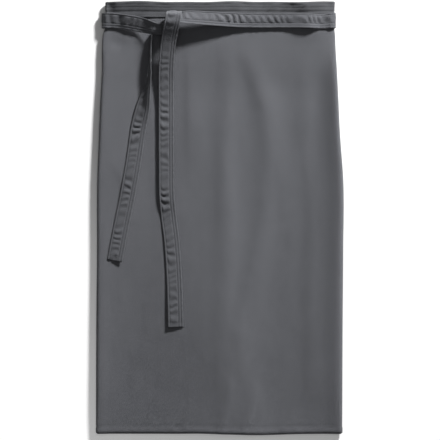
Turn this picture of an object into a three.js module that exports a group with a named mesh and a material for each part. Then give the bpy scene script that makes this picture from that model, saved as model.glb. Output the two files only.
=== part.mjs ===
// A long waist apron, wrapped as it is worn and laid flat on its back. One cloth is folded
// behind itself at both sides, a tape binds its top edge, and two flat ties cross at the back,
// come round the sides and meet in a half knot left of the middle, with their ends lying
// down the front. Millimetres, +X to the right, +Y up to the waist, +Z out of the front.
// The origin is on the surface that the apron lies on, under the middle of the cloth.
import * as THREE from 'three';

// Sizes of the cloth
const LENGTH = 800;
const CLOTH_WIDTH = 750;
const WAIST_WIDTH = 421;
const HEM_WIDTH = 455;
const CLOTH_WALL = 1.2;
const HEM_DEPTH = 16;
const HEM_WALL = 2.4;

// Sizes of the waistband and the ties
const BAND_DEPTH = 29;
const BAND_WALL = 1;
const TIE_WIDTH = 28;
const TIE_WALL = 1.6;

// How the pieces lie
const CLEARANCE = 0.3;
const INNER_GAP = 4;
const LEFT_BULGE = 9;
const RIGHT_BULGE = 4;
const KNOT_RISE = 24;
const LONG_END = 603;
const SHORT_END = 480;
const TIE_BACK_DROP = 46;

// How finely the curved faces are cut
const ROLL_STEPS = 4;
const FRONT_STEPS = 22;
const FLAP_STEPS = 3;
const ROW_STEPS = 22;
const TIE_STEPS = 4;

// Places that follow from the sizes
const TOP = LENGTH / 2;
const HALF_HEM = HEM_WIDTH / 2;
const CHANNEL = TIE_WALL + 2 * CLEARANCE;
const BAND_FACE = CHANNEL / 2 + BAND_WALL;
const TIE_LIFT = TIE_WALL + CLEARANCE;
const CLOTH_TOP = TOP - BAND_WALL - CLEARANCE;

// The sides of the cloth. down is a share of LENGTH from the top edge, left and right are
// shares of half its width, which runs from WAIST_WIDTH at the top to HEM_WIDTH at the hem.
const SIDES = [
  { down: 0.0, left: 0.993, right: 1.008 },
  { down: 0.036, left: 0.991, right: 1.004 },
  { down: 0.06, left: 0.999, right: 1.002 },
  { down: 0.076, left: 1.017, right: 1.008 },
  { down: 0.1, left: 1.022, right: 1.009 },
  { down: 0.158, left: 1.019, right: 1.017 },
  { down: 0.228, left: 1.028, right: 1.024 },
  { down: 0.296, left: 1.032, right: 1.03 },
  { down: 0.42, left: 1.039, right: 1.051 },
  { down: 0.574, left: 1.028, right: 1.037 },
  { down: 0.713, left: 1.022, right: 1.022 },
  { down: 1.0, left: 1.004, right: 0.996 },
];

// Soft folds of the front. Each runs from one place to another, with across as a share of
// half the hem width and down as a share of LENGTH. reach is the fold's half breadth as a
// share of half the hem width, and height its crest as a share of the play in the cloth.
const FOLDS = [
  { from: [-0.93, 0.08], to: [-0.97, 0.95], reach: 0.13, height: 0.75 },
  { from: [0.94, 0.08], to: [0.95, 0.95], reach: 0.09, height: 0.8 },
  { from: [0.12, 0.1], to: [0.2, 0.3], reach: 0.07, height: 0.55 },
  { from: [0.24, 0.34], to: [0.06, 0.78], reach: 0.09, height: 0.45 },
  { from: [0.62, 0.12], to: [0.7, 0.62], reach: 0.16, height: 0.4 },
  { from: [-0.24, 0.18], to: [-0.26, 0.56], reach: 0.06, height: 0.35 },
  { from: [-0.72, 0.12], to: [-0.66, 0.4], reach: 0.12, height: 0.3 },
  { from: [0.08, 0.9], to: [0.04, 1.0], reach: 0.05, height: 0.6 },
  { from: [0.3, 0.9], to: [0.27, 1.0], reach: 0.05, height: 0.5 },
  { from: [0.88, 0.8], to: [0.7, 1.0], reach: 0.08, height: 0.5 },
];

const clamp01 = (value) => Math.min(1, Math.max(0, value));
const mix = (a, b, t) => a + (b - a) * t;
const smooth = (from, to, value) => {
  const t = clamp01((value - from) / (to - from));
  return t * t * (3 - 2 * t);
};
const downOf = (y) => (TOP - y) / LENGTH;

// A smooth curve through the rows of a table, read at a place along it
function readTable(rows, key, column, value) {
  const last = rows.length - 1;
  let i = rows.findIndex((row) => row[key] > value) - 1;
  if (i < 0) i = value <= rows[0][key] ? 0 : last - 1;
  const slope = (k) => {
    const a = rows[Math.max(0, k - 1)];
    const b = rows[Math.min(last, k + 1)];
    return (b[column] - a[column]) / (b[key] - a[key]);
  };
  const span = rows[i + 1][key] - rows[i][key];
  const t = clamp01((value - rows[i][key]) / span);
  const t2 = t * t;
  const t3 = t2 * t;
  return (2 * t3 - 3 * t2 + 1) * rows[i][column] + (t3 - 2 * t2 + t) * span * slope(i)
    + (3 * t2 - 2 * t3) * rows[i + 1][column] + (t3 - t2) * span * slope(i + 1);
}

// Half the front's width on one side at a height up the apron. The waistband holds the
// cloth straight.
function halfWidth(y, side) {
  const down = downOf(Math.min(y, TOP - BAND_DEPTH));
  return mix(WAIST_WIDTH, HEM_WIDTH, down) / 2 * readTable(SIDES, 'down', side, down);
}

// How high a place on the front stands in the play between the lowest and the fullest gap
function playAt(x, y) {
  const down = downOf(y);
  const side = x < 0 ? 'left' : 'right';
  const inset = (halfWidth(y, side) - Math.abs(x)) / HALF_HEM;
  let play = Math.exp(-((inset / 0.05) ** 2));
  for (const { from, to, reach, height } of FOLDS) {
    const along = clamp01((down - from[1]) / (to[1] - from[1]));
    const off = (x / HALF_HEM - mix(from[0], to[0], along)) / reach;
    const past = Math.max(from[1] - down, down - to[1], 0) / 0.05;
    play += height * Math.exp(-off * off - past * past);
  }
  const waist = 1 - smooth(BAND_DEPTH / LENGTH + 0.005, 0.12, down);
  return mix(clamp01(play), 1, waist);
}

// The wall is thicker where the hem is turned up
const wallAt = (y) => (y < -TOP + HEM_DEPTH ? HEM_WALL : CLOTH_WALL);

// Middle of the cloth at the back. It lies on the surface, apart from the waist, where the
// ties pass under it and under the waistband.
function backMiddle(y) {
  return mix(TIE_LIFT + BAND_FACE, wallAt(y) / 2, smooth(0.085, 0.16, downOf(y)));
}

// Middle of the cloth at the front. It lies close on the back, and its folds rise to the
// full inner gap and no further.
function frontMiddle(x, y) {
  return backMiddle(y) + mix(HEM_WALL + CLEARANCE, INNER_GAP + CLOTH_WALL, playAt(x, y));
}

// The upper side of what lies under a tie at the front: the cloth, or the waistband's face
function frontFace(x, y) {
  const wall = wallAt(y) / 2;
  return frontMiddle(x, y) + (y > TOP - BAND_DEPTH - CLEARANCE ? BAND_FACE : wall);
}

// The wrap's middle line across the apron at one height, from the inner edge of the left
// flap, round the left side, over the front and round to the inner edge of the right flap.
// Each point has its place and the direction that faces out of the wrap.
function wrapLine(y) {
  const back = backMiddle(y);
  const line = [];
  const left = halfWidth(y, 'left');
  const right = halfWidth(y, 'right');
  const turn = (frontMiddle(-left, y) - back) / 2;
  const flap = (CLOTH_WIDTH - left - right - 2 * (Math.PI - 2) * turn) / 2;
  for (let i = 0; i < FLAP_STEPS; i++) {
    line.push({ x: mix(-left + flap, -left + turn, i / FLAP_STEPS), z: back, nx: 0, nz: -1 });
  }
  for (let i = 0; i <= ROLL_STEPS; i++) {
    const angle = Math.PI * i / ROLL_STEPS;
    const nx = -Math.sin(angle);
    const nz = -Math.cos(angle);
    line.push({ x: -left + turn + nx * turn, z: back + turn + nz * turn, nx, nz });
  }
  for (let i = 1; i < FRONT_STEPS; i++) {
    const x = mix(-left + turn, right - turn, i / FRONT_STEPS);
    line.push({ x, z: frontMiddle(x, y), nx: 0, nz: 1 });
  }
  for (let i = 0; i <= ROLL_STEPS; i++) {
    const angle = Math.PI * i / ROLL_STEPS;
    const nx = Math.sin(angle);
    const nz = Math.cos(angle);
    line.push({ x: right - turn + nx * turn, z: back + turn + nz * turn, nx, nz });
  }
  for (let i = 1; i <= FLAP_STEPS; i++) {
    line.push({ x: mix(right - turn, right - flap, i / FLAP_STEPS), z: back, nx: 0, nz: -1 });
  }
  return line;
}

// A closed solid from rings of points: each ring has the same number of points, neighbours
// are joined by quads, and the first and last rings are closed by the cap's triangles,
// whose corners run the same way round as the ring when they are in rising order
function solidFromRings(rings, cap) {
  const around = rings[0].length;
  const index = [];
  for (let r = 0; r + 1 < rings.length; r++) {
    for (let k = 0; k < around; k++) {
      const next = (k + 1) % around;
      const a = r * around + k;
      const b = r * around + next;
      index.push(a, b, b + around, a, b + around, a + around);
    }
  }
  const end = (rings.length - 1) * around;
  for (const corners of cap) {
    const [a, b, c] = [...corners].sort((p, q) => p - q);
    index.push(a, c, b);
    index.push(end + a, end + b, end + c);
  }
  const geometry = new THREE.BufferGeometry();
  const places = rings.flat().flatMap((point) => [point.x, point.y, point.z]);
  geometry.setAttribute('position', new THREE.Float32BufferAttribute(places, 3));
  geometry.setIndex(index);
  geometry.computeVertexNormals();
  return geometry;
}

// Rows of the cloth from hem to top: even ones, and a pair at the line where the hem begins
function clothRows() {
  const hemLine = -TOP + HEM_DEPTH;
  const rows = [CLOTH_TOP, TOP - BAND_DEPTH, TOP - BAND_DEPTH - TIE_WIDTH / 2,
    TOP - BAND_DEPTH - TIE_WIDTH, hemLine, hemLine - CLEARANCE, -TOP];
  const first = TOP - BAND_DEPTH - TIE_WIDTH;
  for (let i = 1; i < ROW_STEPS; i++) rows.push(mix(first, hemLine, i / ROW_STEPS));
  return rows.sort((a, b) => a - b);
}

// The cloth: each row of the wrap gives a ring that runs out along the outer face and
// comes back along the inner one
function panelGeometry() {
  const rings = clothRows().map((y) => {
    const half = wallAt(y) / 2;
    const line = wrapLine(y);
    const face = (out) => line.map((p) => new THREE.Vector3(p.x + p.nx * out, y, p.z + p.nz * out));
    return [...face(half), ...face(-half).reverse()];
  });
  const count = rings[0].length;
  const cap = [];
  for (let k = 0; k + 1 < count / 2; k++) {
    cap.push([k, k + 1, count - 2 - k], [k, count - 2 - k, count - 1 - k]);
  }
  return solidFromRings(rings, cap);
}

// The waistband: one tape folded over the top edge, a channel swept round the wrap
function bandGeometry() {
  const bottom = TOP - BAND_DEPTH;
  const inner = CHANNEL / 2;
  const round = BAND_WALL * 0.6;
  const section = [
    [bottom, -BAND_FACE], [TOP - round, -BAND_FACE], [TOP, round - BAND_FACE],
    [TOP, BAND_FACE - round], [TOP - round, BAND_FACE], [bottom, BAND_FACE],
    [bottom, inner], [TOP - BAND_WALL, inner], [TOP - BAND_WALL, -inner], [bottom, -inner],
  ].map(([y, out]) => new THREE.Vector2(y, out));
  const cap = THREE.ShapeUtils.triangulateShape(section, []);
  const rings = wrapLine(TOP - BAND_DEPTH / 2).map((p) => section.map(
    ({ x: y, y: out }) => new THREE.Vector3(p.x + p.nx * out, y, p.z + p.nz * out),
  ));
  return solidFromRings(rings, cap);
}

// Where a tie lies at the front: just clear of whatever is under its whole width
function restingHeight(x, y) {
  let top = 0;
  for (let i = -3; i <= 3; i++) {
    for (let j = -3; j <= 3; j++) {
      const reach = TIE_WIDTH / 2 / 3;
      top = Math.max(top, frontFace(x + i * reach, y + j * reach));
    }
  }
  return top + CLEARANCE + TIE_WALL / 2;
}

// A flat tie swept along a route. Each stop has its middle, the direction of the tie's
// width there, and the share of the full width that shows where the tie is gathered.
function tieGeometry(stops) {
  const curve = new THREE.CatmullRomCurve3(stops.map((stop) => stop.middle), false, 'centripetal');
  const spans = stops.length - 1;
  const rings = [];
  for (let i = 0; i <= spans * TIE_STEPS; i++) {
    const t = i / (spans * TIE_STEPS);
    const k = Math.min(spans - 1, Math.floor(t * spans));
    const f = t * spans - k;
    const middle = curve.getPoint(t);
    middle.z = Math.max(middle.z, TIE_WALL / 2);
    const ahead = curve.getTangent(t);
    const width = stops[k].width.clone().lerp(stops[k + 1].width, f);
    width.addScaledVector(ahead, -width.dot(ahead)).normalize();
    const out = ahead.clone().cross(width);
    const half = TIE_WIDTH / 2 * mix(stops[k].full, stops[k + 1].full, f);
    rings.push([[1, 1], [-1, 1], [-1, -1], [1, -1]].map(([a, b]) => middle.clone()
      .addScaledVector(width, a * half).addScaledVector(out, b * TIE_WALL / 2)));
  }
  return solidFromRings(rings, [[0, 1, 2], [0, 2, 3]]);
}

// Directions of a tie's width
const UP = [0, 1, 0];
const LEFT = [-1, 0, 0];
const IN = [0, 0, -1];

// Where the ties come round the sides, in tie widths below the top edge
const SIDE_DROP = 1.25;

// One stop of a route, from plain numbers
const stop = (x, y, z, width, full = 1) => ({
  middle: new THREE.Vector3(x, y, z), width: new THREE.Vector3(...width), full,
});

// How a tie crosses the open back. along is a share of the opening, drop of the way down
// from the waistband's line to the line that it runs on, and level goes from 0 at the
// waistband over 1 at the crossing to 2 on the surface.
const BACK_RUN = [
  { along: 0.08, drop: 0, level: 0, full: 1 },
  { along: 0.2, drop: 0.01, level: 0.5, full: 0.9 },
  { along: 0.32, drop: 0.12, level: 1, full: 0.8 },
  { along: 0.5, drop: 0.5, level: 1, full: 0.78 },
  { along: 0.68, drop: 0.88, level: 1, full: 0.8 },
  { along: 0.8, drop: 0.99, level: 1.55, full: 0.9 },
  { along: 0.94, drop: 1, level: 2, full: 1 },
  { along: 1.2, drop: 1, level: 2, full: 1 },
];

// The hidden start of a tie: it leaves the end of the waistband at one flap, drops below the
// other end in the open back, and runs to the far side under the other flap. heading is -1
// for the tie that runs to the left. The tie that lies nearer to the cloth passes over.
function backRun(heading, farSide, passesOver) {
  const wrap = wrapLine(TOP - BAND_DEPTH / 2);
  const start = heading < 0 ? wrap[wrap.length - 1] : wrap[0];
  const gap = Math.abs(start.x);
  const bandLine = TOP - BAND_DEPTH / 2;
  const runLine = TOP - TIE_BACK_DROP;
  const low = TIE_WALL / 2;
  const crossing = low + CLEARANCE + (passesOver ? TIE_LIFT : 0);
  const high = backMiddle(bandLine);
  return [
    stop(start.x + heading * CLEARANCE, bandLine, high, UP),
    ...BACK_RUN.map(({ along, drop, level, full }) => {
      const z = level < 1 ? mix(high, crossing, level) : mix(crossing, low, level - 1);
      return stop(start.x + heading * along * 2 * gap, mix(bandLine, runLine, drop), z, UP, full);
    }),
    stop(heading * farSide * 0.8, mix(runLine, TOP - SIDE_DROP * TIE_WIDTH, 0.6), low, UP),
  ];
}

// The turn of a tie round the side of the apron, from the surface up to the front
function sideTurn(heading, edge, y) {
  const low = TIE_WALL / 2;
  const high = restingHeight(heading * (edge - TIE_WIDTH), y);
  const turn = (high - low) / 2;
  const stops = [stop(heading * (edge - turn - TIE_WIDTH / 2), y, low, UP)];
  for (let i = 0; i <= TIE_STEPS; i++) {
    const angle = Math.PI * i / TIE_STEPS;
    const x = edge - turn + turn * Math.sin(angle);
    stops.push(stop(heading * x, y, low + turn - turn * Math.cos(angle), UP));
  }
  return stops;
}

// The routes at the front. across is a share of half the waist width. down is in tie widths
// from the top edge at the knot, and a share of the tie's own end where it hangs. rise is a
// share of KNOT_RISE above the front, on top of what a tie that stands on edge needs.
const place = (across, down, end, rise, width, full = 1) => {
  const x = across * WAIST_WIDTH / 2;
  const y = TOP - down * end;
  const onEdge = Math.abs(new THREE.Vector3(...width).normalize().z) * full * TIE_WIDTH / 2;
  return stop(x, y, restingHeight(x, y) + onEdge + rise * KNOT_RISE, width, full);
};

// The tie that comes round the left side, passes under the other one and over its upper
// edge, and hangs down the front as the long end
const LONG_KNOT = [
  { across: -0.93, down: 1.27, rise: 0, width: UP, full: 1 },
  { across: -0.8, down: 1.4, rise: 0.1, width: UP, full: 1 },
  { across: -0.67, down: 1.6, rise: 0.36, width: [0, 1, 0.2], full: 1 },
  { across: -0.58, down: 1.86, rise: 0.71, width: [0, 1, 0.3], full: 0.84 },
  { across: -0.51, down: 1.88, rise: 0.36, width: [0, 1, 0.2], full: 0.7 },
  { across: -0.465, down: 1.8, rise: 0.12, width: [-0.3, 1, 0], full: 0.6 },
  { across: -0.415, down: 1.6, rise: 0.05, width: [-1, 0.6, 0], full: 0.6 },
  { across: -0.4, down: 1.2, rise: 0.05, width: LEFT, full: 0.7 },
  { across: -0.395, down: 0.86, rise: 0.05, width: LEFT, full: 0.85 },
  { across: -0.392, down: 0.7, rise: 0.2, width: LEFT, full: 0.95 },
  { across: -0.396, down: 0.84, rise: 0.55, width: LEFT, full: 1 },
  { across: -0.402, down: 1.08, rise: 1.06, width: LEFT, full: 1 },
  { across: -0.41, down: 1.42, rise: 1.4, width: LEFT, full: 1 },
  { across: -0.422, down: 1.8, rise: 1.34, width: LEFT, full: 1 },
  { across: -0.436, down: 2.3, rise: 1, width: LEFT, full: 1 },
];
const LONG_HANG = [
  { across: -0.452, down: 0.14, rise: 0.55 },
  { across: -0.467, down: 0.21, rise: 0.38 },
  { across: -0.468, down: 0.3, rise: 0.2 },
  { across: -0.468, down: 0.4, rise: 0.1 },
  { across: -0.467, down: 0.5, rise: 0.06 },
  { across: -0.463, down: 0.6, rise: 0 },
  { across: -0.447, down: 0.66, rise: 0 },
  { across: -0.42, down: 0.735, rise: 0 },
  { across: -0.397, down: 0.85, rise: 0 },
  { across: -0.384, down: 1.0, rise: 0 },
];

// The tie that comes round the right side, passes over the other one and under the long
// end, turns on edge behind it and comes to lie flat as the short end
const SHORT_KNOT = [
  { across: 0.9, down: 1.31, rise: 0, width: UP, full: 0.95 },
  { across: 0.6, down: 1.28, rise: 0.02, width: UP, full: 0.92 },
  { across: 0.2, down: 1.25, rise: 0.06, width: [0, 1, -0.12], full: 0.95 },
  { across: -0.1, down: 1.15, rise: 0.12, width: [0, 0.8, -0.5], full: 0.95 },
  { across: -0.3, down: 1.09, rise: 0.26, width: [0, 0.6, -0.8], full: 0.95 },
  { across: -0.42, down: 1.09, rise: 0.28, width: [0, 0.55, -0.83], full: 0.9 },
  { across: -0.52, down: 1.18, rise: 0.12, width: [0, 0.35, -0.94], full: 0.62 },
  { across: -0.585, down: 1.4, rise: 0.06, width: IN, full: 0.42 },
  { across: -0.59, down: 1.8, rise: 0.05, width: IN, full: 0.42 },
];
const SHORT_HANG = [
  { across: -0.587, down: 0.15, rise: 0.05, width: IN, full: 0.6 },
  { across: -0.592, down: 0.2, rise: 0.02, width: IN, full: 0.85 },
  { across: -0.607, down: 0.28, rise: 0, width: IN, full: 1 },
  { across: -0.632, down: 0.34, rise: 0, width: [-0.6, 0, -1], full: 1 },
  { across: -0.66, down: 0.4, rise: 0.08, width: [-1, 0, -0.4], full: 1 },
  { across: -0.69, down: 0.48, rise: 0.06, width: LEFT, full: 1 },
  { across: -0.75, down: 0.61, rise: 0, width: LEFT, full: 1 },
  { across: -0.81, down: 0.75, rise: 0, width: LEFT, full: 1 },
  { across: -0.87, down: 0.88, rise: 0, width: LEFT, full: 1 },
  { across: -0.921, down: 1.0, rise: 0, width: LEFT, full: 1 },
];

const knotStop = (row) => place(row.across, row.down, TIE_WIDTH, row.rise, row.width, row.full);
const hangStop = (end) => (row) => place(row.across, row.down, end, row.rise, row.width ?? LEFT, row.full);

function longTieGeometry() {
  const y = TOP - SIDE_DROP * TIE_WIDTH;
  const edge = halfWidth(y, 'left') + LEFT_BULGE - TIE_WALL / 2;
  return tieGeometry([...backRun(-1, edge, false), ...sideTurn(-1, edge, y),
    ...LONG_KNOT.map(knotStop), ...LONG_HANG.map(hangStop(LONG_END))]);
}

function shortTieGeometry() {
  const y = TOP - SIDE_DROP * TIE_WIDTH;
  const edge = halfWidth(y, 'right') + RIGHT_BULGE - TIE_WALL / 2;
  return tieGeometry([...backRun(1, edge, true), ...sideTurn(1, edge, y),
    ...SHORT_KNOT.map(knotStop), ...SHORT_HANG.map(hangStop(SHORT_END))]);
}

// The finished apron: each piece is a named mesh in its own shade of charcoal twill
const apron = new THREE.Group();
const pieces = [
  ['apron_panel', panelGeometry(), 0x5f6066],
  ['waistband', bandGeometry(), 0x58595e],
  ['tie_long', longTieGeometry(), 0x5d5e63],
  ['tie_short', shortTieGeometry(), 0x5d5e63],
];
for (const [name, geometry, color] of pieces) {
  const material = new THREE.MeshStandardMaterial({ color, roughness: 0.85, metalness: 0 });
  const mesh = new THREE.Mesh(geometry, material);
  mesh.name = name;
  apron.add(mesh);
}

export default apron;
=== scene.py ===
import bpy
import math
import numpy as np
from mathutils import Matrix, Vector, noise


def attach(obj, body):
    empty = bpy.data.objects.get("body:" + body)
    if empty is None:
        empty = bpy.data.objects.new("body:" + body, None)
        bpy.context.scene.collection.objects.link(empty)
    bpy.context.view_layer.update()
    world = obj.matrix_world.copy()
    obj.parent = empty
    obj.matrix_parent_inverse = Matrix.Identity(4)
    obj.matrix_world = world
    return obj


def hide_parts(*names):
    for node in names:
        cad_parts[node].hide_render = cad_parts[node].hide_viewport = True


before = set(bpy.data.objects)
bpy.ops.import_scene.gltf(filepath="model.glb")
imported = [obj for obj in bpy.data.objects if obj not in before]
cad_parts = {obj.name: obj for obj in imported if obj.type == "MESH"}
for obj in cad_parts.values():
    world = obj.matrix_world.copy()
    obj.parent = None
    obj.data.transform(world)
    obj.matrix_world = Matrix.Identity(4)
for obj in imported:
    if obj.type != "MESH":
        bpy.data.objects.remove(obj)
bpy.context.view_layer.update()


# The table and the light. The apron lies on a plain pale table and is seen from straight
# above. A low soft lamp stands beyond its upper right corner, and a faint one overhead and
# the room fill the shadows. Far from the lamp the table glows.
picture_width = 0.814
lens, sensor = 160, 36
picture_middle = Vector((0.0009, -0.0037, 0.008))

bpy.ops.object.select_all(action="DESELECT")
bpy.ops.object.camera_add(
    location=picture_middle + Vector((0, 0, picture_width * lens / sensor)), rotation=(0, 0, 0))
camera = bpy.context.object
camera.name = "camera"
camera.data.lens = lens
camera.data.sensor_width = sensor
bpy.context.scene.camera = camera


def lamp(name, turn, height, distance, size, power):
    """A square soft lamp that looks at the apron, turned from +Y towards +X"""
    turn, height = math.radians(turn), math.radians(height)
    flat = math.cos(height)
    way = Vector((math.sin(turn) * flat, math.cos(turn) * flat, math.sin(height)))
    bpy.ops.object.light_add(type="AREA", location=way * distance)
    light = bpy.context.object
    light.name = name
    light.data.shape = "SQUARE"
    light.data.size = size
    light.data.energy = power
    light.rotation_euler = way.to_track_quat("Z", "Y").to_euler()
    return light


key_lamp = lamp("key_lamp", turn=31, height=22.5, distance=3.4, size=0.42, power=288)
lamp("top_lamp", turn=0, height=88, distance=3.0, size=2.5, power=12)

bpy.context.scene.view_settings.view_transform = "Standard"
world = bpy.data.worlds.new("room")
bpy.context.scene.world = world
world.use_nodes = True
room = world.node_tree.nodes["Background"]
room.inputs["Color"].default_value = (1, 1, 1, 1)
room.inputs["Strength"].default_value = 0.115


class Wire:
    """One output of a node, so that a number that changes over the cloth is a plain sum"""

    def __init__(self, tree, socket):
        self.tree, self.socket = tree, socket

    @staticmethod
    def make(tree, kind, settings=None, values=None, out=0):
        node = tree.nodes.new(kind)
        for name, value in (settings or {}).items():
            setattr(node, name, value)
        for name, value in (values or {}).items():
            if isinstance(value, Wire):
                tree.links.new(value.socket, node.inputs[name])
            else:
                node.inputs[name].default_value = value
        return Wire(tree, node.outputs[out])

    def math(self, operation, *others):
        values = dict(enumerate((self, *others)))
        return Wire.make(self.tree, "ShaderNodeMath", {"operation": operation}, values)

    def __add__(self, other):
        return self.math("ADD", other)

    def __mul__(self, other):
        return self.math("MULTIPLY", other)

    def __rsub__(self, other):
        return (self * -1.0).math("ADD", other)

    __radd__, __rmul__ = __add__, __mul__


def blend_colour(tree, factor, dark, light):
    """A colour between two, by a wire"""
    return Wire.make(tree, "ShaderNodeMix", {"data_type": "RGBA"},
                     {"Factor": factor, 6: (*dark, 1), 7: (*light, 1)}, out=2)


def new_material(name):
    material = bpy.data.materials.new(name)
    material.use_nodes = True
    return material, material.node_tree, material.node_tree.nodes["Principled BSDF"]


bpy.ops.mesh.primitive_plane_add(size=24, location=(0, 0, -0.0004))
table = bpy.context.object
table.name = "table"
pale, tree, shader = new_material("pale_table")
grain = Wire.make(tree, "ShaderNodeTexNoise", None, {"Scale": 3.0, "Detail": 2.0})
plain_pale = blend_colour(tree, grain, (0.86, 0.86, 0.86), (0.9, 0.9, 0.9))
tree.links.new(plain_pale.socket, shader.inputs["Base Color"])
# The table glows where the lamp no longer reaches, so that it is as pale from every side
body = Wire.make(tree, "ShaderNodeTexCoord", out=3)
from_lamp = Wire.make(tree, "ShaderNodeVectorMath", {"operation": "DISTANCE"},
                      {0: body, 1: key_lamp.location}, out=1)
lit = from_lamp.math("POWER", -3.0) * (key_lamp.location.length ** 3)
glow = blend_colour(tree, 1.0 - lit.math("MINIMUM", 1.0), (0, 0, 0), (0.8, 0.8, 0.8))
tree.links.new(glow.socket, shader.inputs["Emission Color"])
shader.inputs["Emission Strength"].default_value = 1.0
shader.inputs["Roughness"].default_value = 0.9
table.data.materials.append(pale)


# The cloth. One piece of charcoal twill, cut 75 by 80 cm, with a turned hem along the bottom.
# It is wrapped: both sides are folded behind the front in soft rolls, and the front lies in
# shallow folds. The ties lift it a little at the waist.
cloth_cut = (0.75, 0.8)
waist_width, hem_width = 0.421, 0.455
cloth_thick = 0.0009
hem_deep = 0.016
band_deep = 0.029
tie_wide = 0.028
top = cloth_cut[1] / 2
# How high the middles of the flaps and of the front lie under the waistband
waist_back, waist_front = 0.004, 0.0092

# down is a share of the length, left and right are shares of half the width there
sides = dict(
    down=(0.0, 0.036, 0.06, 0.076, 0.1, 0.158, 0.228, 0.296, 0.42, 0.574, 0.713, 1.0),
    left=(0.993, 0.991, 0.999, 1.017, 1.022, 1.019, 1.028, 1.032, 1.039, 1.028, 1.022, 1.004),
    right=(1.008, 1.004, 1.002, 1.008, 1.009, 1.017, 1.024, 1.03, 1.051, 1.037, 1.022, 0.996))

# The rolls at the sides: how high they stand, how far their outer slope reaches inwards and
# how wide the inner slope is, all in metres, at shares of the length
rolls = dict(
    down=(0.0, 0.05, 0.1, 0.2, 0.35, 0.5, 0.65, 0.8, 0.93, 1.0),
    left_high=(0.0052, 0.0052, 0.0085, 0.011, 0.012, 0.012, 0.0122, 0.0125, 0.0125, 0.0105),
    left_outer=(0.0026, 0.0026, 0.004, 0.005, 0.005, 0.005, 0.0055, 0.0055, 0.005, 0.004),
    left_inner=(0.02, 0.02, 0.03, 0.04, 0.04, 0.036, 0.03, 0.026, 0.024, 0.022),
    right_high=(0.0052, 0.0052, 0.0135, 0.0175, 0.018, 0.018, 0.0178, 0.0172, 0.0155, 0.012),
    right_outer=(0.0026, 0.0026, 0.0035, 0.0045, 0.006, 0.008, 0.009, 0.010, 0.009, 0.006),
    right_inner=(0.02, 0.02, 0.018, 0.021, 0.025, 0.027, 0.028, 0.030, 0.032, 0.030))

# The folds of the front. Each has a crest through some places, from the waist down, with a
# height, a reach to its left and right, and fade, the way on which it dies out past its ends
folds = [
    dict(name="long_sweep", left=0.020, right=0.026, high=0.0036,
         crest=[(0.051, 0.302), (0.071, 0.246), (0.086, 0.200), (0.0925, 0.126), (0.0916, 0.061),
                (0.079, -0.022), (0.056, -0.133), (0.041, -0.207)]),
    dict(name="short_run", fade=0.1, left=0.018, right=0.022, high=0.0023,
         crest=[(0.012, 0.32), (0.021, 0.252), (0.017, 0.185), (0.012, 0.126), (0.014, 0.02)]),
    dict(name="soft_crease", left=0.009, right=0.03, high=0.0018,
         crest=[(-0.0545, 0.294), (-0.055, 0.24), (-0.0555, 0.192)]),
    dict(name="right_run", fade=0.14, left=0.018, right=0.02, high=0.0020,
         crest=[(0.160, 0.22), (0.168, 0.12), (0.172, 0.0), (0.171, -0.22)]),
    dict(name="short_crease", left=0.013, right=0.03, high=0.0008,
         crest=[(0.121, 0.05), (0.127, 0.015), (0.134, -0.02)]),
    dict(name="left_run", fade=0.14, left=0.02, right=0.03, high=0.0012,
         crest=[(-0.180, 0.25), (-0.176, 0.15), (-0.170, 0.0)]),
    dict(name="left_wrinkle", left=0.006, right=0.018, high=0.0013,
         crest=[(-0.2036, 0.098), (-0.188, 0.083), (-0.176, 0.058)]),
    dict(name="middle_run", fade=0.14, left=0.024, right=0.028, high=0.0022,
         crest=[(0.005, 0.03), (0.010, -0.09), (0.004, -0.24)]),
    dict(name="lower_swell", fade=0.16, left=0.11, right=0.065, high=0.0094,
         crest=[(0.0, -0.20), (0.012, -0.28), (0.022, -0.40)]),
    dict(name="hem_buckle_left", fade=0.03, left=0.013, right=0.010, high=0.0013,
         crest=[(0.0176, -0.325), (0.011, -0.355), (0.0046, -0.385)]),
    dict(name="hem_buckle_right", fade=0.03, left=0.012, right=0.010, high=0.0013,
         crest=[(0.062, -0.325), (0.056, -0.355), (0.049, -0.385)]),
    dict(name="corner_sweep", fade=0.14, left=0.05, right=0.04, high=0.0034,
         crest=[(0.186, -0.22), (0.176, -0.30), (0.150, -0.395)]),
]

# Dents of the front, pressed in by the ties and by handling: place, reach and depth. Where
# the depth is negative, the cloth is lifted.
dents = [
    dict(name="under_tie_right", place=(0.165, 0.353), reach=(0.036, 0.026), deep=-0.0040),
    dict(name="left_pinch", place=(-0.188, 0.322), reach=(0.013, 0.010), deep=0.0014),
    dict(name="middle_hollow", place=(0.035, 0.19), reach=(0.03, 0.07), deep=0.0012),
    dict(name="lifted_by_knot", place=(-0.155, 0.337), reach=(0.022, 0.016), deep=-0.0015),
]


def smooth_step(low, high, value):
    t = np.clip((value - low) / (high - low), 0, 1)
    return t * t * (3 - 2 * t)


def read(table, column, value):
    """A smooth curve through a column of a table, by the share of the length"""
    keys, rows = np.asarray(table["down"]), np.asarray(table[column])
    slopes = np.gradient(rows, keys)
    i = np.clip(np.searchsorted(keys, value, side="right") - 1, 0, len(keys) - 2)
    span = keys[i + 1] - keys[i]
    t = np.clip((value - keys[i]) / span, 0, 1)
    return ((2 * t**3 - 3 * t**2 + 1) * rows[i] + (t**3 - 2 * t**2 + t) * span * slopes[i]
            + (3 * t**2 - 2 * t**3) * rows[i + 1] + (t**3 - t**2) * span * slopes[i + 1])


def down_of(y):
    """The share of the length, from the waist down"""
    return np.clip((top - y) / cloth_cut[1], 0, 1)


def half_width(y, side):
    down = down_of(np.minimum(y, top - band_deep))
    return (waist_width + (hem_width - waist_width) * down) / 2 * read(sides, side, down)


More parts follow.
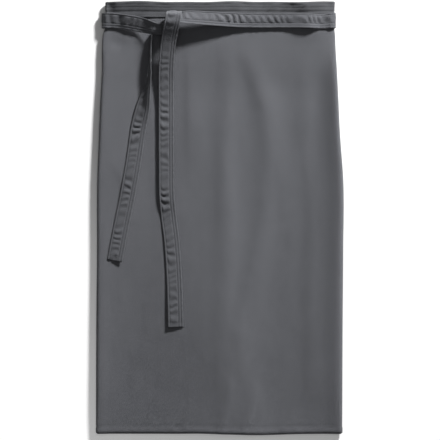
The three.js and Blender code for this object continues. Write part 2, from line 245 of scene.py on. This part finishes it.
def waviness(x, y, reach, seed):
    """Slow unevenness, the same in every run"""
    places = np.broadcast_arrays(np.asarray(x) / reach, np.asarray(y) / reach)
    flat = [noise.noise((a, b, seed)) for a, b in zip(places[0].ravel(), places[1].ravel())]
    return np.reshape(flat, places[0].shape)


def waist_hold(y):
    """1 where the waistband and the ties hold the cloth, falling to 0 below them"""
    return 1 - smooth_step(0.045, 0.21, down_of(y))


def waist_tilt(x, y):
    """The ties press on the lower half of the waistband, so its upper edge stands up in places"""
    places = (-0.205, -0.16, -0.128, -0.08, -0.03, 0.06, 0.11, 0.138, 0.158, 0.18, 0.21)
    rises = (0.0056, 0.006, 0.0052, 0.0036, 0.0026, 0.0024, 0.003, 0.0058, 0.0048, 0.001, 0.0004)
    pressed = top - 0.021
    share = np.clip((y - pressed) / (top - pressed), 0, 1)
    from_roll = waist_width / 2 - np.abs(x)
    return np.interp(x, places, rises) * share * smooth_step(0.003, 0.02, from_roll)


def back_height(y):
    """Middle of the flaps, which lie on the table and are lifted by the ties at the waist"""
    low = cloth_thick / 2
    return low + (waist_back - low) * (1 - smooth_step(0.085, 0.22, down_of(y)))


def fold_height(x, y):
    total = np.zeros(np.broadcast(x, y).shape)
    for fold in folds:
        xs, ys = np.array(fold["crest"]).T
        off = x - np.interp(-y, -ys, xs)
        reach = np.where(off < 0, fold["left"], fold["right"])
        past = np.maximum(np.maximum(y - ys[0], ys[-1] - y), 0) / fold.get("fade", 0.07)
        total += fold["high"] * np.exp(-(off / reach) ** 2 - past**2)
    return total


def dent_depth(x, y):
    total = np.zeros(np.broadcast(x, y).shape)
    for dent in dents:
        dx = (x - dent["place"][0]) / dent["reach"][0]
        dy = (y - dent["place"][1]) / dent["reach"][1]
        total += dent["deep"] * np.exp(-dx * dx - dy * dy)
    return total * smooth_step(band_deep, band_deep + 0.012, top - y)


def front_height(x, y):
    """Middle of the cloth at the front"""
    down = down_of(y)
    rest = back_height(y) + 0.0046 + 0.0012 * smooth_step(0.9, 1, down)
    uneven = 0.0010 * waviness(x, y * 0.22, 0.034, 3.1) + 0.0008 * waviness(x, y * 0.6, 0.09, 5.7)
    plain = rest + fold_height(x, y) + uneven + 0.00022 * waviness(x, y * 0.6, 0.016, 8.4)
    rise = np.zeros(np.broadcast(x, y).shape)
    for side in ("left", "right"):
        edge = half_width(y, side)
        inset = edge - x if side == "right" else edge + x
        past = np.maximum(inset - read(rolls, side + "_outer", down), 0)
        past = past / read(rolls, side + "_inner", down)
        rise += (read(rolls, side + "_high", down) + back_height(y) - plain) * np.exp(-past**1.5)
    loose = plain + rise
    return loose + (waist_front - loose) * waist_hold(y) - dent_depth(x, y) + waist_tilt(x, y)


def roll_half(y, side):
    """Half the height of a side roll, which is its radius"""
    high = read(rolls, side + "_high", down_of(y))
    return (high + (waist_front - waist_back - high) * waist_hold(y)) / 2


def wrap(u, y):
    """Where a place of the wrapped cloth lies, and which way its outer face looks. u runs
    from 0 at the inner edge of the left flap to 1 at that of the right flap."""
    left, right = half_width(y, "left"), half_width(y, "right")
    back = back_height(y)
    flap_share, roll_share = 0.12, 0.06
    x, z = np.zeros_like(y), np.zeros_like(y)
    out_x, out_z = np.zeros_like(y), np.zeros_like(y)
    used = left + right
    for side, edge, sign in (("left", left, -1), ("right", right, 1)):
        half = roll_half(y, side)
        flap = (cloth_cut[0] - used) / 2 - (math.pi - 2) * half
        wide = read(rolls, side + "_outer", down_of(y))
        wide = wide + (half - wide) * waist_hold(y)
        along = u if side == "left" else 1 - u
        t = along / flap_share
        on_flap = along <= flap_share
        x = np.where(on_flap, sign * (edge - flap + (flap - wide) * t), x)
        z = np.where(on_flap, back, z)
        out_z = np.where(on_flap, -1.0, out_z)
        turn = math.pi * (along - flap_share) / roll_share
        on_roll = (along > flap_share) & (along < flap_share + roll_share)
        x = np.where(on_roll, sign * (edge - wide + wide * np.sin(turn)), x)
        z = np.where(on_roll, back + half - half * np.cos(turn), z)
        out_x = np.where(on_roll, sign * np.sin(turn), out_x)
        out_z = np.where(on_roll, -np.cos(turn), out_z)
        if side == "left":
            start = -(edge - wide)
        else:
            end = edge - wide
    inner = flap_share + roll_share
    on_front = (u >= inner) & (u <= 1 - inner)
    t = (u - inner) / (1 - 2 * inner)
    x = np.where(on_front, start + (end - start) * t, x)
    z = np.where(on_front, front_height(x, y), z)
    out_z = np.where(on_front, 1.0, out_z)
    return x, z, out_x, out_z


def new_sheet(name, columns, rows, cut, shape):
    """A fine grid, shaped by a function of its place on the flat cloth, with that place in
    metres as its UV map"""
    bpy.ops.object.select_all(action="DESELECT")
    bpy.ops.mesh.primitive_grid_add(x_subdivisions=columns, y_subdivisions=rows, size=1,
                                    location=(0, 0, 0))
    sheet = bpy.context.object
    sheet.name = name
    mesh = sheet.data
    flat = np.empty(len(mesh.vertices) * 3)
    mesh.vertices.foreach_get("co", flat)
    u, v = flat[0::3] + 0.5, flat[1::3] + 0.5
    mesh.vertices.foreach_set("co", np.stack(shape(u, v), axis=1).ravel())
    corner = np.empty(len(mesh.loops), dtype=np.int32)
    mesh.loops.foreach_get("vertex_index", corner)
    place = np.stack((u[corner] * cut[0], v[corner] * cut[1]), axis=1)
    mesh.uv_layers[0].data.foreach_set("uv", place.ravel())
    mesh.update()
    return sheet


def give_wall(sheet, thickness, edge_group=None, edge_share=1.0):
    """Turns a sheet into a closed wall of even thickness, thinner at its edges if a group
    of points says so"""
    bpy.context.view_layer.objects.active = sheet
    bpy.ops.object.modifier_add(type="SOLIDIFY")
    wall = sheet.modifiers[-1]
    wall.thickness = thickness
    wall.offset = 0
    if edge_group:
        wall.vertex_group = edge_group
        wall.thickness_vertex_group = edge_share
    bpy.ops.object.modifier_apply(modifier=wall.name)
    bpy.ops.object.shade_smooth()


def top_wave(x):
    """The waistband's upper edge isn't quite straight"""
    return 0.0007 * np.sin(x * 34 + 0.6) + 0.0004 * np.sin(x * 75)


def hem_wave(x):
    """The hem hangs lowest right of the middle"""
    sag, lift = np.exp(-((x - 0.075) / 0.055) ** 2), np.exp(-((x + 0.04) / 0.03) ** 2)
    return 0.0008 * lift - 0.0022 * sag


# The wrap is asked for no lower than this
lowest = -top + 1e-5


def cloth_shape(u, v):
    """v runs up the cloth from the turned edge inside the hem. The turn itself is a tight
    fold at the bottom."""
    turned = hem_deep / (cloth_cut[1] + hem_deep)
    inside = v < turned
    up_inside = (turned - v) / turned * hem_deep
    up_outside = (v - turned) / (1 - turned) * cloth_cut[1]
    under_tape, gap = 0.0014, 0.00105
    y = np.minimum(-top + np.where(inside, up_inside, up_outside), top - under_tape)
    up = y + top
    fold = np.clip(up / gap, 0, 1)
    x, z, out_x, out_z = wrap(u, np.maximum(y, lowest))
    puff = 0.0005 * np.exp(-((up - 0.45 * hem_deep) / (0.3 * hem_deep)) ** 2)
    groove = 0.0005 * np.exp(-((up - 0.93 * hem_deep) / 0.0012) ** 2)
    rope = 0.0006 * waviness(x + y * 0.8, y * 0.3, 0.008, 6.2) * (up < hem_deep)
    round_fold = np.sqrt(fold * (2 - fold))
    outward = -gap * np.where(inside, 1 + round_fold, 1 - round_fold)
    outward = outward + np.where(inside | (out_z < -0.3), 0, puff - groove + rope)
    wave = hem_wave(x) * (1 - smooth_step(0, 0.12, up)) * (out_z > 0)
    return x + out_x * outward, y + wave, z + out_z * outward


def texture(tree, place, scale, detail):
    return Wire.make(tree, "ShaderNodeTexNoise", None,
                     {"Vector": place, "Scale": scale, "Detail": detail})


def twill(name, dark, light):
    """Matt charcoal twill: fine slanting ridges, uneven yarn and a slow change of shade"""
    ridge = 0.00074
    material, tree, shader = new_material(name)
    place = Wire.make(tree, "ShaderNodeUVMap")
    split = tree.nodes.new("ShaderNodeSeparateXYZ")
    tree.links.new(place.socket, split.inputs[0])
    across, along = Wire(tree, split.outputs[0]), Wire(tree, split.outputs[1])
    turns = 2 * math.pi / ridge
    uneven = texture(tree, place, 260.0, 2.0)
    ridges = ((across + along) * turns + uneven * 2.5).math("SINE")
    threads = (across * (turns * 2.2)).math("SINE") * (along * (turns * 2.2)).math("SINE")
    slub = texture(tree, place, 1400.0, 3.0)
    body = Wire.make(tree, "ShaderNodeTexCoord", out=3)
    cloud = texture(tree, body, 14.0, 4.0)
    shade = 0.5 + 0.13 * ridges + (slub + -0.5) * 0.9 + (cloud + -0.5) * 0.45
    colour = blend_colour(tree, shade.math("MINIMUM", 1.0), dark, light)
    tree.links.new(colour.socket, shader.inputs["Base Color"])
    relief = ridges * 0.4 + threads * 0.25 + slub * 0.9
    bump = Wire.make(tree, "ShaderNodeBump", None,
                     {"Height": relief, "Strength": 0.6, "Distance": 0.00022})
    tree.links.new(bump.socket, shader.inputs["Normal"])
    tree.links.new((0.86 + 0.08 * slub).socket, shader.inputs["Roughness"])
    shader.inputs["Sheen Weight"].default_value = 0.12
    shader.inputs["Sheen Roughness"].default_value = 0.5
    shader.inputs["Specular IOR Level"].default_value = 0.25
    return material


cloth = new_sheet("apron_cloth", 180, 216, (cloth_cut[0], cloth_cut[1] + hem_deep), cloth_shape)
give_wall(cloth, cloth_thick)
cloth.data.materials.append(twill("cloth_twill", (0.07, 0.072, 0.08), (0.108, 0.11, 0.121)))
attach(cloth, "root")
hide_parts("apron_panel")


stitch_pitch = 0.0032
stitch_size = (0.0024, 0.00055, 0.0004)
off_face = 0.0001


def seam(spots, faces):
    """Even places for stitches along a line: each with its way ahead and its outer face"""
    length = np.concatenate(((0,), np.cumsum(np.linalg.norm(np.diff(spots, axis=0), axis=1))))
    even = np.arange(stitch_pitch, length[-1] - stitch_pitch, stitch_pitch)
    pick = lambda rows: np.stack([np.interp(even, length, rows[:, i]) for i in range(3)], axis=1)
    return pick(spots), pick(np.gradient(spots, length, axis=0)), pick(faces)


def sew(name, seams, piece):
    """One stitch is modelled, and copied along every seam of a piece"""
    spots, ahead, faces = (np.concatenate(rows) for rows in zip(*seams))
    ahead /= np.linalg.norm(ahead, axis=1)[:, None]
    faces = faces - ahead * (faces * ahead).sum(1)[:, None]
    faces /= np.linalg.norm(faces, axis=1)[:, None]
    sides = np.cross(faces, ahead)
    bpy.ops.object.select_all(action="DESELECT")
    bpy.ops.mesh.primitive_uv_sphere_add(segments=5, ring_count=4, radius=0.5,
                                         rotation=(0, math.pi / 2, 0))
    bpy.ops.object.transform_apply(rotation=True)
    bpy.ops.transform.resize(value=stitch_size)
    bpy.ops.object.transform_apply(scale=True)
    stitches = bpy.context.object
    stitches.name = name
    one = np.array([v.co for v in stitches.data.vertices])
    faces_of_one = [tuple(face.vertices) for face in stitches.data.polygons]
    points = (spots[:, None] + ahead[:, None] * one[None, :, :1]
              + sides[:, None] * one[None, :, 1:2] + faces[:, None] * one[None, :, 2:])
    corners = [tuple(v + k * len(one) for v in face)
               for k in range(len(spots)) for face in faces_of_one]
    stitches.data.clear_geometry()
    stitches.data.from_pydata(points.reshape(-1, 3).tolist(), [], corners)
    bpy.ops.object.shade_smooth()
    stitches.data.materials.append(thread)
    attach(stitches, "root")
    return stitches


thread, tree, shader = new_material("charcoal_thread")
body = Wire.make(tree, "ShaderNodeTexCoord", out=3)
twist = texture(tree, body, 900.0, 1.0)
thread_colour = blend_colour(tree, twist, (0.07, 0.072, 0.08), (0.15, 0.153, 0.168))
tree.links.new(thread_colour.socket, shader.inputs["Base Color"])
shader.inputs["Roughness"].default_value = 0.6
shader.inputs["Specular IOR Level"].default_value = 0.3


def cloth_seam(u, v):
    """A row of stitching on the cloth's outer face"""
    x, y, z = cloth_shape(u, v)
    out_x, out_z = wrap(u, np.maximum(y, lowest))[2:]
    lift = cloth_thick / 2 + off_face
    faces = np.stack((out_x, np.zeros_like(x), out_z), axis=1)
    return seam(np.stack((x, y, z), axis=1) + faces * lift, faces)


line = np.linspace(0.002, 0.998, 900)
from_hem_edge, side_share = 0.0012, 0.0085
hem_row = (2 * hem_deep - from_hem_edge) / (cloth_cut[1] + hem_deep)
cloth_seams = [cloth_seam(line, np.full_like(line, hem_row))]
for column in (side_share, 1 - side_share):
    cloth_seams.append(cloth_seam(np.full_like(line, column), 0.04 + 0.9 * line))
cloth_stitches = sew("cloth_stitches", cloth_seams, cloth)


# The waistband. A tape of the same twill folded over the top edge of the cloth and stitched
# through in rows. It follows the cloth's wrap and is stiffer, so it lies straighter.
band_thick = 0.0011
band_off = 0.00145
band_bend = 0.0022
# The rows of stitching: metres below the upper edge, and how deep each pulls the cloth in
band_rows = ((0.0065, 1), (0.0115, 1.4), (0.0185, 2.6), (0.0262, 1))


def band_shape(u, v):
    """v runs from the lower edge inside, over the top edge, to the lower edge outside"""
    length = 2 * band_deep
    along = (v - 0.5) * length
    y_in = np.minimum(np.abs(along), band_deep)
    curve = np.clip(1 - y_in / band_bend, 0, 1)
    offset = np.sign(along) * band_off * np.sqrt(np.clip(1 - curve**2, 0, 1))
    y = top - band_thick / 2 - y_in + 0.0008 * (1 - curve**2)
    x, z, out_x, out_z = wrap(u, np.full_like(u, top - band_deep / 2))
    z = np.where(out_z > 0.99, waist_front + waist_tilt(x, y), z)
    outside = along > 0
    seams = sum(pull * np.exp(-((y_in - row) / 0.0009) ** 2) for row, pull in band_rows)
    pucker = 0.0006 * waviness(u * cloth_cut[0] + y_in, y_in * 0.6, 0.008, 4.0)
    pucker += 0.0016 * waviness(u * cloth_cut[0], y_in * 0.7, 0.03, 9.0)
    pucker *= smooth_step(0.002, 0.006, y_in)
    offset = offset + np.where(outside, pucker - 0.0003 * seams, 0)
    return x + out_x * offset, y + top_wave(x) * (1 - y_in / band_deep), z + out_z * offset


band = new_sheet("waistband_tape", 300, 46, (cloth_cut[0], 2 * band_deep), band_shape)
give_wall(band, band_thick)
# The band is the same twill as the cloth, but its colours are set darker: painted shade on the
# folded band.
band.data.materials.append(twill("band_twill_painted_shade", (0.055, 0.057, 0.063), (0.085, 0.087, 0.095)))
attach(band, "root")
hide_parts("waistband")
band_seams = []
for row, _ in band_rows:
    spots = np.stack(band_shape(line, np.full_like(line, 0.5 + row / (2 * band_deep))), axis=1)
    out_x, out_z = wrap(line, np.full_like(line, top - band_deep / 2))[2:]
    faces = np.stack((out_x, np.zeros_like(line), out_z), axis=1)
    band_seams.append(seam(spots + faces * (band_thick / 2 + off_face), faces))
band_stitches = sew("waistband_stitches", band_seams, band)


# The waist ties. Each is a strip of the same twill, folded over lengthwise and sewn down one
# side, with a turned end. They start at the ends of the waistband, cross in the open back,
# come round the sides, and make a half knot left of the middle, from which both ends hang.
tie_thick = 0.0017
# Measured from the folded edge: two rows of stitching and the soft crease beside the fold,
# and from the turned end: the row across it
tie_seams = (0.0193, 0.0240)
tie_crease = 0.0032
end_seam = 0.0085
knot_rise = 0.024
long_end, short_end = 0.603, 0.480
# Where the ties run round the sides, and by how much one passes over the other at the back
side_line = top - 1.25 * tie_wide
tie_lift = 0.0019
up, to_left, inward = (0, 1, 0), (-1, 0, 0), (0, 0, -1)


def front_face(x, y):
    """The surface that a tie can lie on"""
    over_band = waist_front + band_off + band_thick / 2
    return np.where(y > top - band_deep, over_band, front_height(x, y) + cloth_thick / 2)


def resting(x, y, wide_x, wide_y):
    """Middle of a tie that just lies on whatever is under its whole width"""
    reach = np.linspace(-1, 1, 9)[:, None] * tie_wide / 2
    return front_face(x + reach * wide_x, y + reach * wide_y).max(0) + tie_thick / 2 + 0.0002


def stop(x, y, z, wide, full=1.0, lies=0.0):
    """One place on a tie's way: its middle, the direction of its width, the share of the
    width that shows, and whether z counts from the surface under it"""
    return (x, y, z, *wide, full, lies)


def across_back(heading, far_side, passes_over):
    """The hidden start of a tie, from the end of the waistband to the far side"""
    band_line, run_line = top - band_deep / 2, top - 0.046
    line = np.full(3, band_line)
    x = wrap(np.array([0.0, 0.5, 1.0]), line)[0]
    gap = abs(x[2] if heading < 0 else x[0])
    low = tie_thick / 2 + 0.0001
    crossing = low + 0.0004 + (tie_lift if passes_over else 0)
    stops = [stop(-heading * gap + heading * 0.0004, band_line, waist_back, up)]
    for along, drop, level, full in (
            (0.08, 0, 0, 1), (0.2, 0.01, 0.5, 0.9), (0.32, 0.12, 1, 0.8), (0.5, 0.5, 1, 0.78),
            (0.68, 0.88, 1, 0.8), (0.8, 0.99, 1.55, 0.9), (0.94, 1, 2, 1), (1.2, 1, 2, 1)):
        y = band_line + (run_line - band_line) * drop
        z = np.interp(level, (0, 1, 2), (waist_back, crossing, low))
        stops.append(stop(heading * gap * (2 * along - 1), y, z, up, full))
    stops.append(stop(heading * far_side * 0.8, run_line + (side_line - run_line) * 0.6, low, up))
    return stops


def round_side(heading, edge):
    """The turn of a tie round the side, from the table up to the front"""
    low = tie_thick / 2 + 0.0001
    high = float(resting(np.array([heading * (edge - tie_wide)]), np.array([side_line]), 0, 1)[0])
    turn = (high - low) / 2
    stops = [stop(heading * (edge - turn - tie_wide / 2), side_line, low, up)]
    for angle in np.linspace(0, math.pi, 5):
        x = edge - turn + turn * math.sin(angle)
        stops.append(stop(heading * x, side_line, low + turn - turn * math.cos(angle), up))
    return stops


def knot_stop(across, down, rise, wide, full=1.0, end=tie_wide):
    """A place at the front: across is a share of half the waist, down a share of the hanging
    end's length or of the tie's width, and rise a share of the knot's height"""
    length = math.sqrt(sum(n * n for n in wide))
    on_edge = abs(wide[2]) / length * full * tie_wide / 2
    z = on_edge + rise * knot_rise
    return stop(across * waist_width / 2, top - down * end, z, wide, full, 1.0)


left_turn = half_width(side_line, "left") + 0.0082
long_way = across_back(-1, left_turn, False) + round_side(-1, left_turn)
for row in ((-0.93, 1.27, 0, (0, 1, 0.2), 1), (-0.8, 1.4, 0.1, (0, 1, 0.26), 1),
            (-0.67, 1.6, 0.22, (0, 1, 0.26), 1), (-0.58, 1.8, 0.47, (0, 1, 0.3), 0.84),
            (-0.51, 1.88, 0.47, (0, 1, 0.3), 0.74),
            (-0.465, 1.84, 0.3, (-0.1, 1, 0.1), 0.62), (-0.42, 1.6, 0.06, (-1, 0.8, 0), 0.6),
            (-0.4, 1.2, 0.05, to_left, 0.7), (-0.395, 0.86, 0.1, to_left, 0.85),
            (-0.392, 0.7, 0.35, to_left, 0.95), (-0.395, 0.74, 0.85, to_left, 1),
            (-0.4, 0.96, 1.27, to_left, 1), (-0.41, 1.42, 1.36, to_left, 1),
            (-0.422, 1.8, 1.2, to_left, 1), (-0.436, 2.3, 0.9, to_left, 1)):
    long_way.append(knot_stop(*row))
for across, down, rise in (
        (-0.452, 0.14, 0.62), (-0.467, 0.21, 0.36), (-0.468, 0.3, 0.2), (-0.468, 0.4, 0.16),
        (-0.467, 0.5, 0.15), (-0.463, 0.6, 0.13), (-0.447, 0.66, 0), (-0.42, 0.735, 0),
        (-0.397, 0.85, 0), (-0.384, 1.0, 0)):
    long_way.append(knot_stop(across, down, rise, to_left, 1, long_end))

right_turn = half_width(side_line, "right") + 0.0032
short_way = across_back(1, right_turn, True) + round_side(1, right_turn)
for row in ((0.91, 1.31, 0.02, up, 0.95), (0.8, 1.3, 0.15, (0, 1, -0.04), 0.95),
            (0.68, 1.28, 0.16, up, 0.93), (0.56, 1.27, 0.04, (0, 1, 0.06), 0.92),
            (0.2, 1.25, 0.13, (0, 1, 0), 0.95), (-0.1, 1.15, 0.44, (0, 1, -0.18), 0.95),
            (-0.3, 1.1, 0.52, (0, 1, -0.45), 0.95), (-0.41, 1.2, 0.27, (0, 0.55, -0.83), 0.8),
            (-0.49, 1.5, 0.04, (0, 0.4, -0.9), 0.4), (-0.56, 1.75, 0.02, inward, 0.36),
            (-0.588, 2.05, 0.02, inward, 0.36)):
    short_way.append(knot_stop(*row))
for row in ((-0.6, 0.15, 0.02, inward, 0.45), (-0.606, 0.22, 0.02, inward, 0.52),
            (-0.618, 0.3, 0, (-0.4, 0, -1), 0.58), (-0.646, 0.355, 0.04, (-1, 0, -0.8), 0.75),
            (-0.676, 0.415, 0.05, (-1, 0, -0.2), 0.95), (-0.71, 0.48, 0.03, to_left, 1),
            (-0.754, 0.61, 0, to_left, 1), (-0.81, 0.75, 0, to_left, 1),
            (-0.87, 0.88, 0, to_left, 1), (-0.921, 1.0, 0, to_left, 1)):
    short_way.append(knot_stop(*row, short_end))


def soften(values, reach):
    """Evens out a row of values along a tie"""
    near = np.exp(-np.linspace(-2, 2, 4 * reach + 1) ** 2)
    near = near / near.sum()
    padded = np.pad(values, ((2 * reach, 2 * reach),) + ((0, 0),) * (values.ndim - 1), mode="edge")
    return np.apply_along_axis(lambda row: np.convolve(row, near, mode="valid"), 0, padded)


def follow(stops):
    """The whole way of a tie, in even steps: its middle, the directions of its width and of
    its face, the share of its width that shows, and the length so far"""
    rows = np.array(stops, dtype=float)
    ground = rows[:, 7] * resting(rows[:, 0], rows[:, 1], rows[:, 3], rows[:, 4])
    spots = rows[:, :3] + np.stack((0 * ground, 0 * ground, ground), axis=1)
    more = lambda a: np.concatenate((2 * a[:1] - a[1:2], a, 2 * a[-1:] - a[-2:-1]))
    spots, rows = more(spots), more(rows)
    gap = np.maximum(np.linalg.norm(np.diff(spots, axis=0), axis=1), 1e-6) ** 0.5
    t = np.linspace(0, 1, 30, endpoint=False)[:, None]
    pieces = []
    for k in range(1, len(rows) - 2):
        a, b, c, d = rows[k - 1:k + 3]
        first = ((b - a) / gap[k - 1] - (c - a) / (gap[k - 1] + gap[k]) + (c - b) / gap[k]) * gap[k]
        last = ((c - b) / gap[k] - (d - b) / (gap[k] + gap[k + 1]) + (d - c) / gap[k + 1]) * gap[k]
        line = ((2 * t**3 - 3 * t**2 + 1) * b + (t**3 - 2 * t**2 + t) * first
                + (3 * t**2 - 2 * t**3) * c + (t**3 - t**2) * last)
        line[:, 3:] = b[3:] + (c[3:] - b[3:]) * t
        pieces.append(line)
    way = np.concatenate(pieces + [rows[-2:-1]])
    lies = way[:, 7]
    way[:, 2] += lies * soften(resting(way[:, 0], way[:, 1], way[:, 3], way[:, 4]), 6)
    step = np.linalg.norm(np.diff(way[:, :3], axis=0), axis=1)
    length = np.concatenate(((0,), np.cumsum(step)))
    even_step = 0.0015
    even = np.arange(0, length[-1], even_step)
    way = np.stack([np.interp(even, length, way[:, i]) for i in range(8)], axis=1)
    middle = soften(way[:, :3], 2)
    middle[0], middle[-1] = way[0, :3], way[-1, :3]
    ahead = np.gradient(middle, axis=0)
    ahead /= np.linalg.norm(ahead, axis=1)[:, None]
    wide = soften(way[:, 3:6], 5)
    wide -= ahead * (wide * ahead).sum(1)[:, None]
    wide /= np.linalg.norm(wide, axis=1)[:, None]
    return dict(middle=middle, wide=wide, face=np.cross(ahead, wide), full=soften(way[:, 6], 3),
                lies=way[:, 7], length=even)


def tie_surface(way, s, w, seed):
    """A place on a tie: s metres along it and w metres from its folded edge"""
    one = lambda row: np.interp(s, way["length"], row)
    three = lambda rows: np.stack([one(row) for row in rows.T], axis=-1)
    full, lies = one(way["full"]), one(way["lies"])
    middle, wide, face = three(way["middle"]), three(way["wide"]), three(way["face"])
    q = 1 - 2 * w / tie_wide
    gathered = np.sqrt(np.clip(1 / full - 1, 0, None)) * full
    pleat = 0.3 * gathered * tie_wide / 4.7 * np.sin(4.7 * q + s * 9)
    between = smooth_step(tie_crease, tie_crease + 0.003, w)
    between *= 1 - smooth_step(tie_seams[0] - 0.004, tie_seams[0], w)
    drift = waviness(s, w * 1.5, 0.035, seed) * 6
    strength = np.maximum(0.3, 0.6 + 1.6 * waviness(s, np.zeros_like(s), 0.05, seed + 5))
    pressed = lies * np.exp(-((middle[..., 0] - 0.02) / 0.1) ** 2)
    pressed = pressed * (middle[..., 1] > top - 0.05)
    strength = strength * (1 + pressed - 0.6 * smooth_step(0.012, 0.026, middle[..., 2]))
    pucker = 0.0010 * strength * between * np.sin(s * 450 + (w - 0.011) * 150 + drift)
    edge_ripple = 0.00035 * np.sin(s * 400 + drift * 1.3) * smooth_step(tie_seams[1], tie_wide, w)
    sway = 0.0007 * waviness(s, w * 2, 0.05, seed + 9)
    spot = middle + wide * (q * full * tie_wide / 2)[..., None]
    spot = spot + face * (pleat + pucker + edge_ripple)[..., None]
    spot[..., 2] += np.abs(sway) * lies
    under = np.where(lies > 0.5, front_face(spot[..., 0], spot[..., 1]) + 0.0002, 0.0001)
    under = np.where(np.abs(wide[..., 2]) < 0.3, under, 0)
    spot[..., 2] = np.maximum(spot[..., 2], under + tie_thick / 2)
    return spot, face


def make_tie(name, way, seed):
    """A flat tape along its way, thin at its edges and at its sewn lines"""
    length = way["length"][-1]
    across = np.array((0, 0.3, 0.8, 1.6, 2.6, 3.2, 3.8, 5, 7, 9, 11, 13, 15, 17, 18.6, 19.3, 20,
                       21.6, 23.3, 24, 24.7, 26, 27.2, 27.7, 28)) / 1000
    row_length = 0.0017
    rows = int(length / row_length)

    def shape(u, v):
        w = np.interp(u * (len(across) - 1), np.arange(len(across)), across)
        return tie_surface(way, v * length, w, seed)[0].T

    tie = new_sheet(name, len(across) - 1, rows, (tie_wide, length), shape)
    flat = np.empty(len(tie.data.loops) * 2)
    tie.data.uv_layers[0].data.foreach_get("uv", flat)
    column = flat[0::2] / tie_wide * (len(across) - 1)
    flat[0::2] = np.interp(column, np.arange(len(across)), across)
    tie.data.uv_layers[0].data.foreach_set("uv", flat)
    group = tie.vertex_groups.new(name="wall")
    thin_lines = (tie_crease, *tie_seams)
    for k, w in enumerate(across):
        weight = 1 - 0.75 * sum(math.exp(-((w - s) / 0.0006) ** 2) for s in thin_lines)
        weight *= min(1.0, 0.25 + 0.75 * math.sqrt(min(1, min(w, tie_wide - w) / 0.0012)))
        for row in range(rows + 1):
            from_end = (rows - row) * length / rows
            at_end = min(1, 0.3 + from_end / 0.001)
            at_end *= 1 - 0.6 * math.exp(-((from_end - end_seam) / 0.0009) ** 2)
            group.add([row * len(across) + k], weight * at_end, "REPLACE")
    give_wall(tie, tie_thick, "wall", 0.15)
    tie.data.materials.append(tie_twill_painted_shade)
    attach(tie, "root")
    return tie, length


# The ties are the same twill as the cloth, but their colours are set darker: painted shade on the
# ties.
tie_twill_painted_shade = twill("tie_twill_painted_shade", (0.057, 0.059, 0.066), (0.089, 0.091, 0.1))
for name, node, stops, seed in (("long_tie", "tie_long", long_way, 2.0),
                                ("short_tie", "tie_short", short_way, 7.0)):
    way = follow(stops)
    tie, length = make_tie(name, way, seed)
    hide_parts(node)
    seams = []
    for face_sign in (1, -1):
        runs = [(np.linspace(0, length - end_seam, 1200), np.full(1200, w)) for w in tie_seams]
        runs.append((np.full(40, length - end_seam), np.linspace(tie_crease, tie_seams[0], 40)))
        for s, w in runs:
            spots, faces = tie_surface(way, s, w, seed)
            seams.append(seam(spots + faces * face_sign * tie_thick * 0.32, faces * face_sign))
    stitches = sew(name + "_stitches", seams, tie)


# The sizes.
def plain(corner):
    return [float(n) for n in corner]
